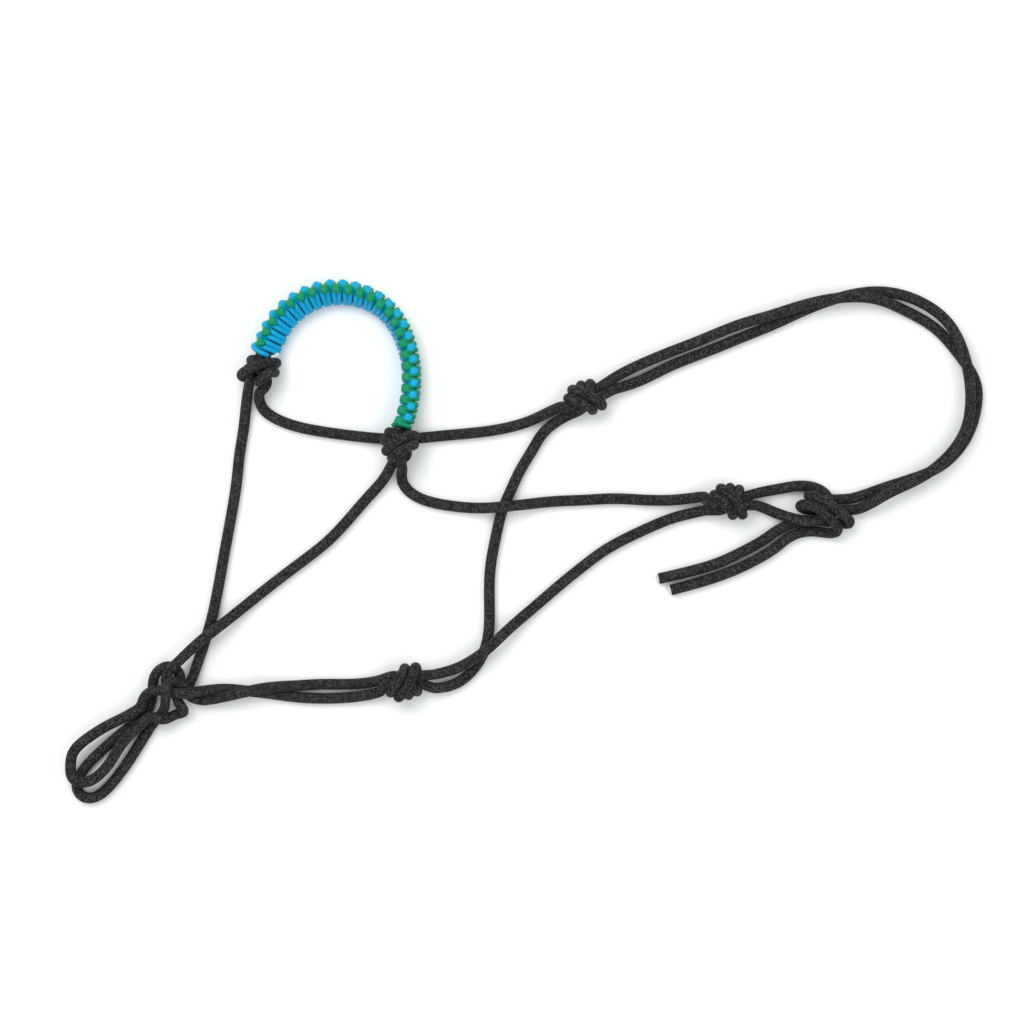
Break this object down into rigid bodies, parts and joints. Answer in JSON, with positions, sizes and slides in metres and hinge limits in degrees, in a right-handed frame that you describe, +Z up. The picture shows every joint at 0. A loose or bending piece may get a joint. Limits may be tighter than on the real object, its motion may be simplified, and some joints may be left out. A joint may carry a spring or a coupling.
{
  "type": "rope halter",
  "caption": "Knotted rope halter for a horse with a cord-wrapped noseband, a throat knot with loops for a lead, a crown loop and a tied cheek closure, laid out flat.",
  "frame": {"origin": "middle of the footprint, at the level of the surface the halter lies on", "axes": "+X along the layout's long side, from the lead loops to the crown; +Y towards the noseband; +Z up, off the surface"},
  "size_m": [0.6849, 0.3912, 0.033],
  "materials": {
    "halter_rope": "braided polyester sheath, charcoal black",
    "rope_core": "white core fibres",
    "blue_cord": "thin braided nylon cord, bright blue",
    "green_cord": "thin braided nylon cord, green",
    "melted_end": "melted cord end, cloudy"
  },
  "bodies": {
    "halter": {"cheek_knot_left": "halter_rope", "cheek_knot_right": "halter_rope", "throat_knot": "halter_rope", "fiador_knot": "halter_rope", "tie_knot": "halter_rope", "tie_loop": "halter_rope", "chin_strand_left": "halter_rope", "chin_strand_right": "halter_rope", "cheek_strand_left": "halter_rope", "cheek_strand_right": "halter_rope", "throat_strand_left": "halter_rope", "throat_strand_right": "halter_rope", "jaw_strand_upper": "halter_rope", "jaw_strand_lower": "halter_rope"},
    "noseband": {"nose_knot_left": "halter_rope", "nose_knot_right": "halter_rope", "noseband_core_upper": "halter_rope", "noseband_core_lower": "halter_rope", "noseband_wrap_blue": "blue_cord", "noseband_wrap_green": "green_cord", "wrap_end_left": "melted_end", "wrap_end_right": "green_cord"},
    "crown": {"crown_strand_outer": "halter_rope", "crown_strand_inner": "halter_rope"},
    "lead_loops": {"lead_loop_upper": "halter_rope", "lead_loop_lower": "halter_rope"},
    "tail_upper": {"tail_upper": "halter_rope", "tail_upper_core": "rope_core"},
    "tail_lower": {"tail_lower": "halter_rope", "tail_lower_core": "rope_core"}
  },
  "joints": [
    {"name": "noseband_lift", "type": "hinge", "parent": "halter", "child": "noseband", "pos_m": [-0.206, 0.1145, 0.01], "axis": [0.8866, -0.4626, 0], "range_deg": [0, 90]},
    {"name": "crown_lift", "type": "hinge", "parent": "halter", "child": "crown", "pos_m": [0.058, 0.121, 0.01], "axis": [0.8935, -0.449, 0], "range_deg": [0, 100]},
    {"name": "lead_loops_lift", "type": "hinge", "parent": "halter", "child": "lead_loops", "pos_m": [-0.2855, -0.1235, 0.0125], "axis": [-0.7071, 0.7071, 0], "range_deg": [0, 90]},
    {"name": "tail_upper_lift", "type": "hinge", "parent": "halter", "child": "tail_upper", "pos_m": [0.189, 0.008, 0.004], "axis": [-0.7328, 0.6804, 0], "range_deg": [0, 90]},
    {"name": "tail_lower_lift", "type": "hinge", "parent": "halter", "child": "tail_lower", "pos_m": [0.196, 0.0015, 0.004], "axis": [-0.7328, 0.6804, 0], "range_deg": [0, 90]}
  ]
}
